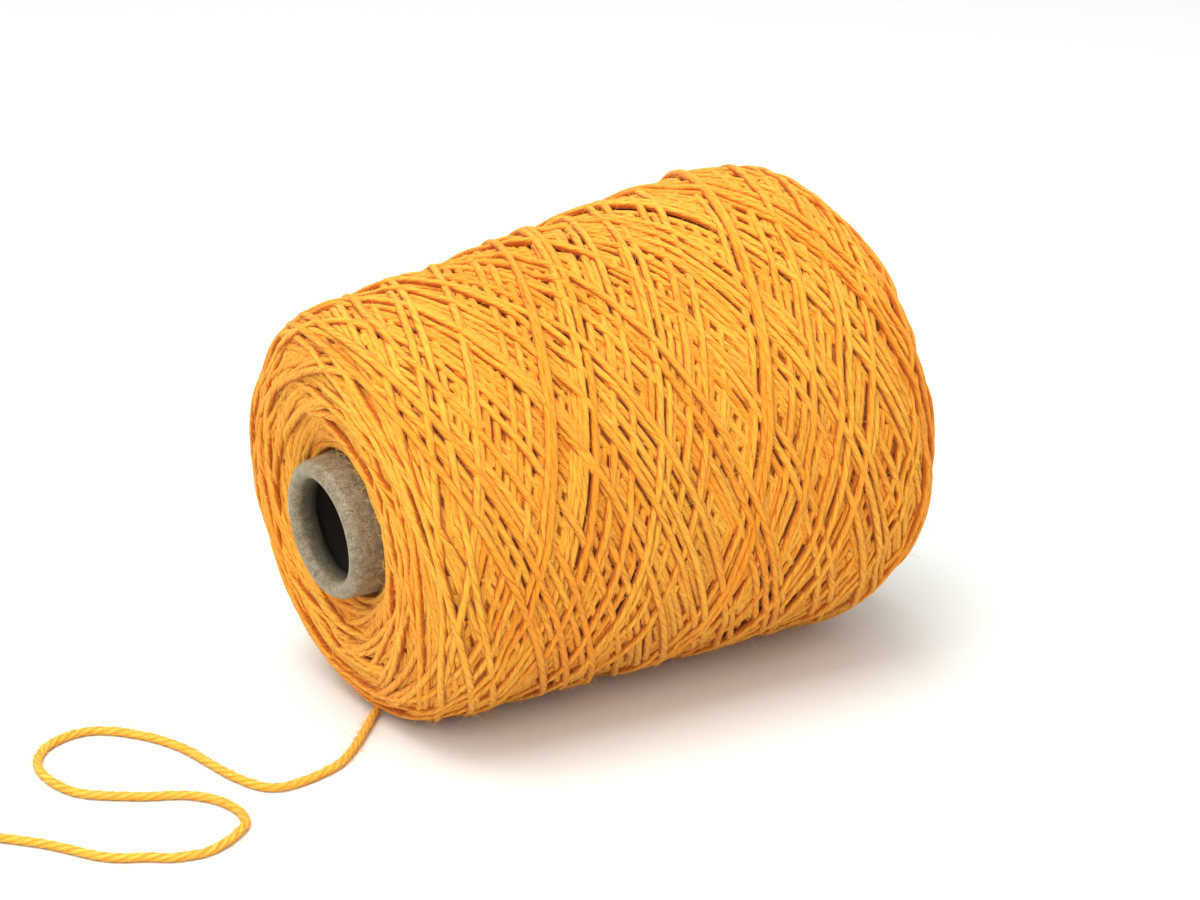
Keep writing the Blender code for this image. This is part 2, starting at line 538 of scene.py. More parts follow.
def evenly_spaced(points: Array, step: float) -> Array:
    """Points at even steps along a polyline, both ends included.

    Args:
        points: The polyline's points, one a row.
        step: About how long each step is.

    Returns:
        The new points, one a row.
    """
    reach = distances(points)
    places = np.linspace(0.0, reach[-1], max(2, round(reach[-1] / step) + 1))
    return np.column_stack([np.interp(places, reach, column) for column in points.T])


def blur(values: Array, reach: int, spread: float) -> Array:
    """Smooth a row of values with a bell-shaped window.

    Args:
        values: The values.
        reach: How many steps the window reaches to either side.
        spread: Its spread, in steps.

    Returns:
        The smoothed values.
    """
    window = np.exp(-0.5 * (np.arange(-reach, reach + 1) / spread) ** 2)
    return np.convolve(np.pad(values, reach, mode="edge"), window / window.sum(), mode="valid")


@dataclass(frozen=True)
class TubeSizes:
    """The card tube's sizes.

    Args:
        length: From the tip of the nose to the base.
        nose_radius: Outer radius at the nose.
        wall: Thickness of the card.
        half_angle: The cone's half angle.
        tip: Place of the nose's tip along the axis.
        lip_height: How far the rolled lip rounds over.
        lining_depth: How deep the rolled-in card reaches from the tip.
    """

    length: float = 0.166
    nose_radius: float = 0.018
    wall: float = 0.0024
    half_angle: float = math.radians(4.33)
    tip: float = -0.0038
    lip_height: float = 0.0025
    lining_depth: float = 0.0068

    @property
    def base(self) -> float:
        """Place of the tube's base along the axis."""
        return self.tip + self.length

    def radius(self, along: float | Array) -> float | Array:
        """Outer radius at a place along the axis."""
        return self.nose_radius + (along - self.tip) * math.tan(self.half_angle)


@dataclass
class PackageForm:
    """The wound package's turned form and where it lies.

    Args:
        tube: The tube that it is wound on.
        tilt: How far the axis rises towards the wide end.
        axis_height: Height of the axis at the plane of the narrow end.
        outline: Place along the axis and radius of each section of the outside.
        oval: How far the package is out of round.
        oval_angle: The angle of its widest place.
        oval_fade: The reach over which the oval sets in from each end.
    """

    tube: TubeSizes
    tilt: float = math.radians(4.75)
    axis_height: float = 0.0515
    outline: tuple[tuple[float, float], ...] = (
        (0.0045, 0.0190),
        (0.0024, 0.0245),
        (0.0009, 0.0300),
        (0.0005, 0.0360),
        (0.0013, 0.0420),
        (0.0034, 0.0478),
        (0.0077, 0.0520),
        (0.0140, 0.0540),
        (0.0250, 0.0549),
        (0.0450, 0.0564),
        (0.0650, 0.0582),
        (0.0850, 0.0597),
        (0.1050, 0.0613),
        (0.1210, 0.0629),
        (0.1310, 0.0626),
        (0.1400, 0.0602),
        (0.1462, 0.0555),
        (0.1494, 0.0495),
        (0.1502, 0.0430),
        (0.1496, 0.0360),
        (0.1480, 0.0303),
    )
    oval: float = 0.0003
    oval_angle: float = math.radians(80)
    oval_fade: float = 0.02

    def __post_init__(self) -> None:
        """Work out the outline's curve and the frame of the axis."""
        curve = evenly_spaced(smooth_curve(np.array(self.outline)), step=0.0005)
        self._reach = distances(curve)
        self._along, self._radius = curve.T
        run = np.gradient(curve, self._reach, axis=0)
        run = np.column_stack([blur(part, reach=10, spread=3.0) for part in run.T])
        run /= np.linalg.norm(run, axis=1)[:, None]
        self._normal_along, self._normal_out = -run[:, 1], run[:, 0]
        self.axis = np.array([math.cos(self.tilt), 0.0, math.sin(self.tilt)])
        self.upward = np.array([-math.sin(self.tilt), 0.0, math.cos(self.tilt)])
        self.sideways = np.array([0.0, 1.0, 0.0])
        nose = self.tube.tip * math.cos(self.tilt)
        nose -= (self.tube.nose_radius - self.tube.wall) * math.sin(self.tilt)
        base = self.tube.base * math.cos(self.tilt) + self.tube.radius(self.tube.base) * math.sin(self.tilt)
        self.middle_x = (nose + base) / 2
        self.start = np.array([-self.middle_x, 0.0, self.axis_height])

    @property
    def reach(self) -> float:
        """Length of the outline from tube to tube."""
        return float(self._reach[-1])

    def radius_at(self, reach: Array) -> Array:
        """Radius of the outline at each reach."""
        return np.interp(reach, self._reach, self._radius)

    def place(self, along: Array, radius: Array, angle: Array) -> Array:
        """Points of the row frame from their places round the axis."""
        out = np.outer(radius * np.cos(angle), self.upward) + np.outer(radius * np.sin(angle), self.sideways)
        return self.start + np.outer(along, self.axis) + out

    def lift(self, reach: Array, angle: Array, height: Array) -> Array:
        """Points at the given height over the package's surface.

        Args:
            reach: Each point's reach over the surface.
            angle: Each point's angle round the axis.
            height: Each point's height over the surface.

        Returns:
            The points, one a row.
        """
        bulge = self.oval * np.cos(2 * (angle - self.oval_angle))
        raised = height + bulge * np.clip(np.minimum(reach, self.reach - reach) / self.oval_fade, 0.0, 1.0)
        along = np.interp(reach, self._reach, self._along)
        along = along + raised * np.interp(reach, self._reach, self._normal_along)
        radius = self.radius_at(reach) + raised * np.interp(reach, self._reach, self._normal_out)
        return self.place(along, radius, angle)


# --------------------------------- The yarn ---------------------------------


@dataclass(frozen=True)
class YarnStock:
    """The plied yarn itself.

    Args:
        diameter: Its thickness over the plies.
        plies: How many plies are twisted together.
        lay: The length in which a ply goes once round.
        relaxed_lay: That length in the loose end, where the yarn isn't pulled straight.
        twist: Which way the plies turn.
    """

    diameter: float = 0.0022
    plies: int = 4
    lay: float = 0.0210
    relaxed_lay: float = 0.0140
    twist: Twist = Twist.S

    @property
    def radius(self) -> float:
        """Half the yarn's thickness."""
        return self.diameter / 2

    @property
    def turning(self) -> float:
        """The angle by which its plies turn in a metre."""
        return self.twist.value * 2 * math.pi / self.lay

    def untwisted(self, across: Number, upward: Number, run: Number) -> Number:
        """The angle of a point round the yarn, turned back by the twist so that it keeps to its ply.

        Args:
            across: The point's distance to one side of the yarn's middle.
            upward: Its distance at right angles to that.
            run: The length of yarn so far.

        Returns:
            The angle.
        """
        return upward.angle_of(across) - run * self.turning

    def lobe(self, turn: Number) -> Number:
        """1 on the crown of a ply and 0 between two plies, for an angle turned back by the twist."""
        return (turn * (self.plies / 2)).cosine().size()

    def relaxed(self) -> "YarnStock":
        """The same yarn where nothing pulls at it."""
        return replace(self, lay=self.relaxed_lay)


@dataclass(frozen=True)
class ThreadMesh:
    """How finely a thread is meshed.

    Args:
        sides: How many points go round it.
        step: The length between two rings of points.
        groove: How deep the grooves between its plies are, as a share of its radius.
    """

    sides: int
    step: float
    groove: float


@dataclass
class ThreadTree:
    """The Geometry Nodes that turn polylines into threads.

    The polylines carry "thick", the thickness as a share, "tone", the dye's depth, "run", the length so
    far, and "out", the direction away from what they lie on.

    Args:
        stock: The yarn, which gives the plies' turning.
    """

    stock: YarnStock

    def build(self) -> bpy.types.NodeTree:
        """Make the tree, with its sizes as named inputs.

        Returns:
            The tree.
        """
        tree = bpy.data.node_groups.new("thread", "GeometryNodeTree")
        tree.interface.new_socket("Geometry", in_out="OUTPUT", socket_type="NodeSocketGeometry")
        kinds = {"Radius": "Float", "Groove": "Float", "Sides": "Int", "Material": "Material"}
        for name, kind in {"Geometry": "Geometry", **kinds}.items():
            tree.interface.new_socket(name, in_out="INPUT", socket_type=f"NodeSocket{kind}")
        sheet = NodeSheet(tree)
        given = sheet.add("NodeGroupInput").outputs
        position = sheet.add("GeometryNodeInputPosition").outputs[0]
        tube, middle, ring = self._sweep(sheet, given, position)
        spoke = sheet.vector("SUBTRACT", {0: position, 1: middle})[0]
        across, upward, _ = sheet.add("ShaderNodeSeparateXYZ", None, {0: ring}).outputs
        run = self._attribute(sheet, "run")
        turn = self.stock.untwisted(sheet.number(across), sheet.number(upward), sheet.number(run))
        inward = (self.stock.lobe(turn) - 1.0) * sheet.number(given["Groove"])
        offset = sheet.vector("SCALE", {0: spoke, "Scale": inward})[0]
        plied = sheet.add("GeometryNodeSetPosition", None, {0: tube, "Offset": offset}).outputs[0]
        ply = sheet.add("ShaderNodeCombineXYZ", None, {0: across, 1: upward, 2: run}).outputs[0]
        away = self._attribute(sheet, "out", "FLOAT_VECTOR")
        # crest is 1 where the thread faces away from what it lies on; the yarn finish paints shade where it is
        # low and a highlight where it is high.
        crest = sheet.number(sheet.vector("DOT_PRODUCT", {0: spoke, 1: away})["Value"]) / given["Radius"]
        stored = self._store(sheet, plied, "ply", "FLOAT_VECTOR", ply)
        stored = self._store(sheet, stored, "crest", "FLOAT", crest)
        smooth = sheet.add("GeometryNodeSetShadeSmooth", None, {"Geometry": stored}).outputs[0]
        real = sheet.add("GeometryNodeRealizeInstances", None, {"Geometry": smooth}).outputs[0]
        dressed = sheet.add("GeometryNodeSetMaterial", None, {0: real, "Material": given["Material"]})
        sheet.add("NodeGroupOutput", None, {"Geometry": dressed.outputs[0]})
        return tree

    def _sweep(self, sheet: NodeSheet, given: Any, position: Any) -> tuple[Any, Any, Any]:
        """Sweep a round profile along the polylines.

        Args:
            sheet: The tree's node sheet.
            given: The tree's inputs.
            position: The place of each point.

        Returns:
            The swept mesh, and for each of its points the middle that it goes round and its place on a
            circle of radius 1.
        """
        line = sheet.add("GeometryNodeMeshToCurve", None, {"Mesh": given["Geometry"]}).outputs[0]
        sockets = {"Curve": line, "Radius": self._attribute(sheet, "thick")}
        sized = sheet.add("GeometryNodeSetCurveRadius", None, sockets).outputs[0]
        middle = self._capture(sheet, sized, "Middle", position)
        sockets = {"Resolution": given["Sides"], "Radius": 1.0}
        circle = sheet.add("GeometryNodeCurvePrimitiveCircle", None, sockets).outputs[0]
        ring = self._capture(sheet, circle, "Round", position)
        scaled = sheet.vector("SCALE", {0: position, "Scale": given["Radius"]})[0]
        profile = sheet.add("GeometryNodeSetPosition", None, {0: ring[0], "Position": scaled}).outputs[0]
        sockets = {"Curve": middle[0], "Profile Curve": profile, "Fill Caps": True}
        tube = sheet.add("GeometryNodeCurveToMesh", None, sockets).outputs[0]
        return tube, middle["Middle"], ring["Round"]

    @staticmethod
    def _attribute(sheet: NodeSheet, name: str, kind: str = "FLOAT") -> bpy.types.NodeSocket:
        """Read a value that the polylines carry."""
        node = sheet.add("GeometryNodeInputNamedAttribute", {"data_type": kind}, {"Name": name})
        return next(socket for socket in node.outputs if socket.enabled and socket.name == "Attribute")

    @staticmethod
    def _store(sheet: NodeSheet, geometry: Any, name: str, kind: str, value: Any) -> bpy.types.NodeSocket:
        """Store a value on a mesh's points.

        Args:
            sheet: The tree's node sheet.
            geometry: The mesh.
            name: The name that the value is stored under.
            kind: Its kind.
            value: The value.

        Returns:
            The mesh that carries it.
        """
        settings = {"data_type": kind, "domain": "POINT"}
        sockets = {"Geometry": geometry, "Name": name, "Value": value}
        return sheet.add("GeometryNodeStoreNamedAttribute", settings, sockets).outputs[0]

    @staticmethod
    def _capture(sheet: NodeSheet, geometry: Any, name: str, value: Any) -> Any:
        """Keep a vector of each of a curve's points.

        Args:
            sheet: The tree's node sheet.
            geometry: The curve.
            name: The name that the vector is kept under.
            value: The vector.

        Returns:
            The node's outputs: the curve, and the vector under its name.
        """
        settings = {"domain": "POINT", "carried": (("VECTOR", name),)}
        sockets = {"Geometry": geometry, name: value}
        return sheet.add("GeometryNodeCaptureAttribute", settings, sockets).outputs


@dataclass
class Strands:
    """Stretches of thread that are made into one plain mesh.

    Args:
        radius: The thread's radius.
        fineness: How finely it is meshed.
        runs: The middle line of each stretch, and its values at each point: x, y, z, thickness as a share,
            tone, length run so far, and the three parts of the direction away from what it lies on.
    """

    radius: float
    fineness: ThreadMesh
    runs: list[Array]

    def mesh_object(
        self, name: str, tree: bpy.types.NodeTree, material: bpy.types.Material
    ) -> bpy.types.Object:
        """Make the stretches into one mesh object at the origin.

        Args:
            name: The object's name.
            tree: The threads' node tree.
            material: Their material.

        Returns:
            The object, with plain mesh data.
        """
        points = np.vstack(self.runs)
        last = np.cumsum([len(run) for run in self.runs]) - 1
        starts = np.setdiff1d(np.arange(len(points)), last)
        lines = bpy.data.meshes.new(name + "_lines")
        lines.vertices.add(len(points))
        lines.vertices.foreach_set("co", points[:, :3].ravel())
        lines.edges.add(len(starts))
        lines.edges.foreach_set("vertices", np.column_stack([starts, starts + 1]).ravel())
        for key, row in {"thick": points[:, 3], "tone": points[:, 4], "run": points[:, 5]}.items():
            lines.attributes.new(key, "FLOAT", "POINT").data.foreach_set("value", row)
        out = lines.attributes.new("out", "FLOAT_VECTOR", "POINT")
        out.data.foreach_set("vector", points[:, 6:9].ravel())
        guide = link_object(name + "_guide", lines)
        inputs = {"Radius": self.radius, "Groove": self.fineness.groove, "Sides": self.fineness.sides}
        return run_tree(guide, name, tree, {**inputs, "Material": material})


def run_tree(
    guide: bpy.types.Object, name: str, tree: bpy.types.NodeTree, inputs: dict[str, Any]
) -> bpy.types.Object:
    """Run a Geometry Nodes tree on a guide object and keep the result as a plain mesh.

    Args:
        guide: The object that the tree reads. It is removed.
        name: The new object's name.
        tree: The tree.
        inputs: The tree's inputs by name.

    Returns:
        The new object, at the origin.
    """
    modifier = guide.modifiers.new("nodes", "NODES")
    modifier.node_group = tree
    for item in tree.interface.items_tree:
        if item.in_out == "INPUT" and item.name in inputs:
            modifier[item.identifier] = inputs[item.name]
    evaluated = guide.evaluated_get(bpy.context.evaluated_depsgraph_get())
    mesh = bpy.data.meshes.new_from_object(evaluated)
    mesh.name = name
    guide.modifiers.remove(modifier)
    old = guide.data
    bpy.data.objects.remove(guide)
    bpy.data.meshes.remove(old)
    return link_object(name, mesh)


# --------------------------------- Winding ----------------------------------


@dataclass(frozen=True)
class Traverse:
    """Where the winding turns back at one end, from the first layer wound to the last.

    Args:
        first: Reach of the first turn-back, in from the tube.
        last: Reach of the last turn-back.
        bend: How much reach the yarn needs to swing from straight round to its full slant.
        scatter: How unevenly the turn-backs fall.
    """

    first: float
    last: float
    bend: float
    scatter: float

    def turn_backs(self, count: int, chance: np.random.Generator) -> Array:
        """Where the yarn turns back.

        Args:
            count: How many turn-backs there are.
            chance: The source of what is uneven.

        Returns:
            The reach of each turn-back in order.
        """
        share = np.linspace(0.0, 1.0, count)
        even = self.first + (self.last - self.first) * share
        return np.maximum(even + chance.normal(0.0, self.scatter, count) * share**0.5, self.first)


@dataclass
class LaidGround:
    """How high the laid yarn reaches over the package, on a grid of reach and angle.

    Args:
        form: The package's form.
        cell: The size of a cell along the reach.
        columns: How many cells go round.
        press_reach: How far along the reach a hill is spread when the winding presses it in.
        press_angle: How far round it is spread.
        pressed: How much of a hill is pressed in.
    """

    form: PackageForm
    cell: float = 0.0006
    columns: int = 640
    press_reach: float = 0.0036
    press_angle: float = 0.065
    pressed: float = 0.92

    def __post_init__(self) -> None:
        """Make the empty grid."""
        self.rows = int(self.form.reach / self.cell) + 2
        self.top = np.zeros((self.rows, self.columns))
        self.sag = np.zeros((self.rows, self.columns))
        waves = np.fft.fftfreq(2 * self.rows)[:, None] * self.press_reach / self.cell
        turns = np.fft.rfftfreq(self.columns) * self.press_angle / (2 * math.pi) * self.columns
        self._spread = np.exp(-2 * (math.pi * waves) ** 2) * np.exp(-2 * (math.pi * turns) ** 2)

    def cells(self, rows: Array, across: Array) -> tuple[Array, Array]:
        """Cells at given distances across the yarn from its middle line.

        Args:
            rows: Reach, angle and slant of each step.
            across: The distances.

        Returns:
            Each cell's row and column.
        """
        slant = rows[:, 2][:, None]
        radius = self.form.radius_at(rows[:, 0])[:, None]
        reach = rows[:, 0][:, None] + across * np.cos(slant)
        angle = rows[:, 1][:, None] - across * np.sin(slant) / radius
        return self._row(reach), np.floor(angle / (2 * math.pi) * self.columns).astype(int) % self.columns

    def _row(self, reach: Array) -> Array:
        """The grid's row at each reach."""
        return np.clip((reach / self.cell).astype(int), 0, self.rows - 1)

    def press(self) -> None:
        """Press the hills in, so that the package keeps its form."""
        mirrored = np.fft.rfft2(np.vstack([self.top, self.top[::-1]])) * self._spread
        broad = np.fft.irfft2(mirrored, s=(2 * self.rows, self.columns))[: self.rows]
        mean = broad.mean(axis=1)[:, None]
        self.sag = mean + (broad - mean) * self.pressed

    def unevenness(self, reach: Array, angle: Array, starts: Array) -> Array:
        """How high a route would lie over the mean for each of several places where it starts.

        Args:
            reach: The route's reach at each step.
            angle: Its angle at each step.
            starts: The angles where it starts.

        Returns:
            The mean height for each start.
        """
        over = self.top - self.top.mean(axis=1)[:, None]
        turned = (angle[:, None] + starts) / (2 * math.pi) * self.columns
        return over[self._row(reach)[:, None], np.floor(turned).astype(int) % self.columns].mean(axis=0)


@dataclass
class Winding:
    """A laid yarn.

    Args:
        rows: Reach, angle and slant of each small step.
        over: Height of its middle over the package's surface.
        shows: Whether each step shows.
        group: Each step's group of neighbours.
    """

    rows: Array
    over: Array
    shows: Array
    group: Array


@dataclass
class CrossWinding:
    """One long yarn laid to and fro over the package, each turn lying on those before it.

    Args:
        form: The package's form.
        stock: The yarn.
        rounds: How often the yarn goes there and back.
        narrow: The turn-backs at the narrow end.
        wide: The turn-backs at the wide end, measured from the far tube edge.
        hoops: In from the tube, the turn-backs of the first rounds, which also go once straight round there.
        slant: The yarn's usual slant to the round.
        waver: How far the slant wavers from end to end, as a share.
        mean_radius: The package's radius about its middle.
        group: The fewest and most neighbours that lie side by side.
        spacing: The step between neighbours as a share of the yarn's thickness.
        close: The share of the groups whose neighbours touch.
        gaps: The least and most times as far apart that the neighbours of the other groups lie.
        squash: How round a turn stays where it lies on others.
        hard: How much the highest turn under it bears it, rather than all of them.
        stiffness: Over how many small steps it bends.
        step: The length of a small step.
        deep: How far under the mean height the deepest turns are pressed together.
        proud: How far over it the highest ones stand.
        seed: The seed of what is uneven.
    """

    form: PackageForm
    stock: YarnStock
    rounds: int = 190
    narrow: Traverse = Traverse(first=0.0016, last=0.0320, bend=0.009, scatter=0.0040)
    wide: Traverse = Traverse(first=0.0020, last=0.0330, bend=0.009, scatter=0.0035)
    hoops: tuple[float, ...] = (0.0012, 0.0031, 0.0050, 0.0070, 0.0090, 0.0112)
    slant: float = math.radians(21.5)
    waver: float = 0.05
    mean_radius: float = 0.058
    group: tuple[int, int] = (8, 22)
    spacing: float = 0.91
    close: float = 0.75
    gaps: tuple[float, float] = (1.8, 3.8)
    squash: float = 0.50
    hard: float = 0.62
    stiffness: float = 6.0
    step: float = 0.0006
    deep: float = 0.0016
    proud: float = 0.0006
    seed: int = 5

    def __post_init__(self) -> None:
        """Start the seed and the grid, and work out the usual round."""
        self.chance = np.random.default_rng(self.seed)
        self.ground = LaidGround(self.form)
        bends = (self.narrow.bend, self.wide.bend)
        middling = 0.6
        start, end = self.narrow.last * middling, self.form.reach - self.wide.last * middling
        self.usual_turn = 2 * self._stroke(start, end, bends, self.slant, 0.0)[-1, 1]
        self.neighbour = self.spacing * self.stock.diameter / (self.mean_radius * math.sin(self.slant))

    def _stroke(
        self, start: float, end: float, bends: tuple[float, float], slant: float, wave: float
    ) -> Array:
        """One pass over the package.

        Args:
            start: Reach where it starts.
            end: Reach where it ends.
            bends: The reach in which it swings to its full slant, and back.
            slant: Its full slant.
            wave: Where its slow waver starts.

        Returns:
            Rows of reach, angle turned, length run and slant.
        """
        way = math.copysign(1.0, end - start)
        swing_steps, middle_steps, waves = 26, 70, 1.3
        swing = np.linspace(0.0, math.pi / 2, swing_steps)
        first = start + way * bends[0] * (1 - np.cos(swing))
        last = end - way * bends[1] * (1 - np.cos(swing[::-1]))
        middle = np.linspace(first[-1], last[0], middle_steps)[1:-1]
        reach = np.concatenate([first, middle, last])
        share = np.concatenate([np.sin(swing), np.ones(len(middle)), np.sin(swing[::-1])])
        waver = 1 + self.waver * np.sin(2 * math.pi * (reach / self.form.reach * waves + wave))
        angles = slant * share * waver
        mean = (angles[1:] + angles[:-1]) / 2
        run = np.abs(np.diff(reach)) / np.sin(mean)
        turned = run * np.cos(mean) / self.form.radius_at((reach[1:] + reach[:-1]) / 2)
        sums = [np.concatenate([[0.0], np.cumsum(values)]) for values in (turned, run)]
        return np.column_stack([reach, *sums, way * angles])

    def _round(self, ends: Sequence[float], advance: float, wave: float, hoops: bool = False) -> Array:
        """One pass there and back that ends where it is wanted.

        Args:
            ends: Reach of its start, its turn-back and its end.
            advance: How far past a whole number of turns it ends.
            wave: Where its slow waver starts.
            hoops: Whether it goes once straight round at each end.

        Returns:
            Rows of reach, angle turned, length run and slant.
        """
        tightest, widest, settling = 0.6, 1.5, 6
        swings = self.narrow.bend * self.chance.uniform(tightest, widest, 2)
        wanted = advance + 2 * math.pi * round((self.usual_turn - advance) / (2 * math.pi))
        slant = self.slant
        for _ in range(settling):
            out = self._stroke(ends[0], ends[1], (swings[0], self.wide.bend), slant, wave)
            back = self._stroke(ends[1], ends[2], (self.wide.bend, swings[1]), slant, wave)
            slant = math.atan(math.tan(slant) * (out[-1, 1] + back[-1, 1]) / wanted)
        if hoops:
            out[:, 1:3] += self._hoop(ends[0])[-1, 1:3]
            out = np.vstack([self._hoop(ends[0])[:-1], out])
            far = self._hoop(ends[1])
            far[:, 1:3] += out[-1, 1:3]
            out = np.vstack([out, far[1:]])
        back[:, 1:3] += out[-1, 1:3]
        return np.vstack([out, back[1:]])

    def _hoop(self, reach: float) -> Array:
        """A turn straight round the package, a little more than whole.

        Args:
            reach: Where it lies.

        Returns:
            Rows of reach, angle turned, length run and slant.
        """
        turned = np.linspace(0.0, 2.1 * math.pi, 40)
        still = np.full(len(turned), reach)
        return np.column_stack([still, turned, turned * self.form.radius_at(still), still * 0])

    def _rounds(self) -> Iterator[tuple[Array, int]]:
        """The yarn's rounds in turn.

        Yields:
            Rows of a round's reach, angle and slant at even steps, and its group of neighbours.
        """
        narrow = self.narrow.turn_backs(self.rounds + 1, self.chance)
        wide = self.form.reach - self.wide.turn_backs(self.rounds, self.chance)
        narrow[: len(self.hoops)] = self.hoops
        wide[: len(self.hoops)] = self.form.reach - np.array(self.hoops)
        uneven = (0.97, 1.10)
        angle, rest, group, left, wave, gap = 0.0, 0.0, 0, 0, 0.0, self.neighbour
        for index in range(self.rounds):
            self.ground.press()
            ends = (narrow[index], wide[index], narrow[index + 1])
            if left == 0:
                group += 1
                left = int(self.chance.integers(self.group[0], self.group[1] + 1))
                wave = self.chance.random()
                touching = self.chance.random() < self.close
                gap = self.neighbour * (1.0 if touching else self.chance.uniform(*self.gaps))
                advance = self._lowest_start(ends, left, angle) - angle
            else:
                advance = math.pi + gap * self.chance.uniform(*uneven) / 2
            left -= 1
            table = self._round(ends, advance % (2 * math.pi), wave, index < len(self.hoops))
            table[:, 1] += angle
            places = np.arange(rest, table[-1, 2], self.step)
            rest = places[-1] + self.step - table[-1, 2]
            angle = table[-1, 1]
            rows = [np.interp(places, table[:, 2], table[:, column]) for column in (0, 1, 3)]
            yield np.column_stack(rows), group

    def _lowest_start(self, ends: Sequence[float], count: int, angle: float) -> float:
        """Where a group of neighbours would fill the lowest ground without much of a swerve.

        Args:
            ends: Reach of a round's start, its turn-back and its end.
            count: How many neighbours the group has.
            angle: The angle that the yarn comes from.

        Returns:
            The angle where the group starts.
        """
        choices, swerve_cost = 64, 0.0006
        usual = self._round(ends, math.pi, 0.0)[::2]
        starts = np.linspace(0.0, 2 * math.pi, choices, endpoint=False) + self.chance.uniform(0.0, 0.1)
        steps = [number * (math.pi + self.neighbour / 2) for number in range(count)]
        scores = [self.ground.unevenness(usual[:, 0], usual[:, 1] + step, starts) for step in steps]
        swerve = np.abs((starts - angle - self.usual_turn + math.pi) % (2 * math.pi) - math.pi)
        return float(starts[np.argmin(np.mean(scores, axis=0) + swerve_cost * swerve)])

    def lay(self) -> Winding:
        """Lay the whole yarn, a block of steps at a time, and smooth each block with a look ahead.

        Returns:
            The laid yarn.
        """
        points = 9
        across, crown = self._section(points, share=0.98)
        block, ahead, round_length = 120, 16, 1.6
        room = int(self.rounds * round_length / self.step)
        rows, group = np.zeros((room, 3)), np.zeros(room, dtype=int)
        contact, sag, height = np.zeros(room), np.zeros(room), np.zeros(room)
        laid, done = 0, 0
        top = self.ground.top
        for number, (more, label) in enumerate(self._rounds(), 1):
            end = laid + len(more)
            rows[laid:end], group[laid:end] = more, label
            while laid < end:
                stop = min(laid + block, end)
                cells = self.ground.cells(rows[laid:stop], across)
                sag[laid:stop] = self.ground.sag[cells[0][:, points // 2], cells[1][:, points // 2]]
                under = top[cells] + crown * self.squash
                contact[laid:stop] = under.max(axis=1) * self.hard + under.mean(axis=1) * (1 - self.hard)
                contact[laid:stop] -= sag[laid:stop]
                laid = stop
                ready = laid if laid == end and number == self.rounds else laid - ahead
                low, high = max(0, done - ahead), min(laid, ready + ahead)
                smooth = blur(contact[low:high], ahead, self.stiffness)
                height[done:ready] = smooth[done - low : ready - low] + sag[done:ready]
                cells = self.ground.cells(rows[done:ready], across)
                np.maximum.at(top, cells, height[done:ready][:, None] + crown)
                done = ready
        self.ground.press()
        rows, height = rows[:laid], height[:laid]
        return Winding(rows, self._pressed(rows, height), self._showing(rows, height), group[:laid])

    def _section(self, count: int, share: float) -> tuple[Array, Array]:
        """The yarn's round top.

        Args:
            count: How many places across it are wanted.
            share: How much of its width they span.

        Returns:
            Each place's distance from its middle line, and how high its top is there.
        """
        radius = self.stock.radius
        across = np.linspace(-1.0, 1.0, count) * radius * share
        return across, np.sqrt(radius**2 - across**2)

    def _pressed(self, rows: Array, height: Array) -> Array:
        """How high each step lies over the surface once the package is pressed to its form.

        Args:
            rows: Reach, angle and slant of each step.
            height: Height of each step as it was laid.

        Returns:
            The heights over the surface, none past deep or proud.
        """
        edge_reach, edge_share = 0.010, 0.5
        middle = self.ground.cells(rows, np.zeros(1))
        over = height - self.ground.sag[middle[0][:, 0], middle[1][:, 0]]
        from_edge = np.minimum(rows[:, 0], self.form.reach - rows[:, 0])
        limit = np.where(over < 0, self.deep * np.clip(from_edge / edge_reach, edge_share, 1.0), self.proud)
        return np.sign(over) * limit * (1 - np.exp(-np.abs(over) / limit))

    def _showing(self, rows: Array, height: Array) -> Array:
        """Which of the yarn shows at the finished package's surface.

        Args:
            rows: Reach, angle and slant of each step.
            height: Height of each step as it was laid.

        Returns:
            Whether each step shows.
        """
        across, crown = self._section(7, share=0.85)
        covered = 0.00018
        bare = height[:, None] + crown > self.ground.top[self.ground.cells(rows, across)] - covered
        return bare.any(axis=1)


